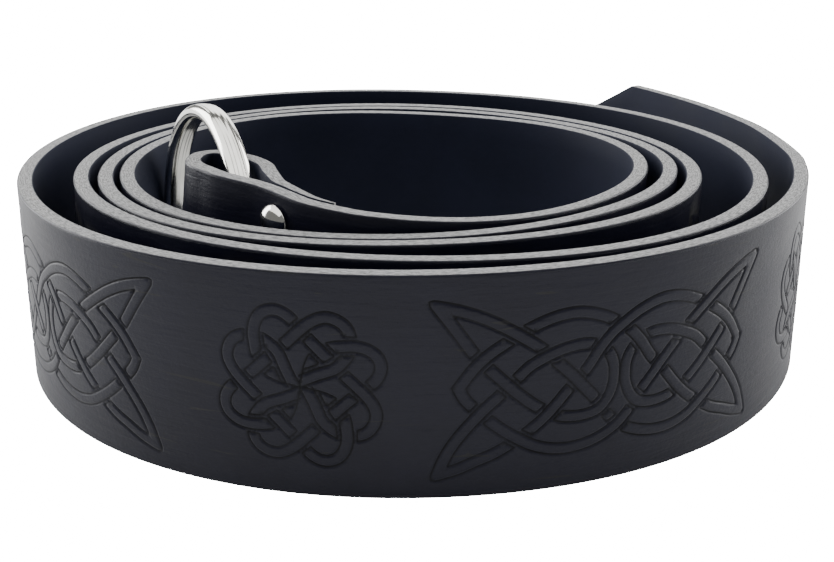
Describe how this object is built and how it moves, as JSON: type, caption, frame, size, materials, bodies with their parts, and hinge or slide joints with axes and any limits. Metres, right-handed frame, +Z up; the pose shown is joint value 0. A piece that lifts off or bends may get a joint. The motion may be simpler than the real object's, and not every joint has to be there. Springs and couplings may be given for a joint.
{
  "type": "medieval ring belt",
  "caption": "Leather ring belt pressed with interlaced knots, coiled on its edge, one end folded and riveted round a chrome ring, the other a tapered tail.",
  "frame": {"origin": "middle of the coiled belt's box, on the surface that it lies on", "axes": "+Z up across the strap's width, +Y away from the ring's side of the coil, +X to the right"},
  "size_m": [0.1586, 0.1704, 0.0509],
  "materials": {
    "leather": "black satin, pressed with knots, grey fibrous cut edges",
    "chrome": "polished"
  },
  "bodies": {
    "belt": {"strap": "leather", "rivet_upper": "chrome", "rivet_lower": "chrome"},
    "ring": {"ring": "chrome"}
  },
  "joints": [
    {"name": "ring_turn", "type": "hinge", "parent": "belt", "child": "ring", "pos_m": [-0.04127, -0.023, 0.02547], "axis": [0.8976, 0.4378, -0.0523], "continuous": true}
  ]
}
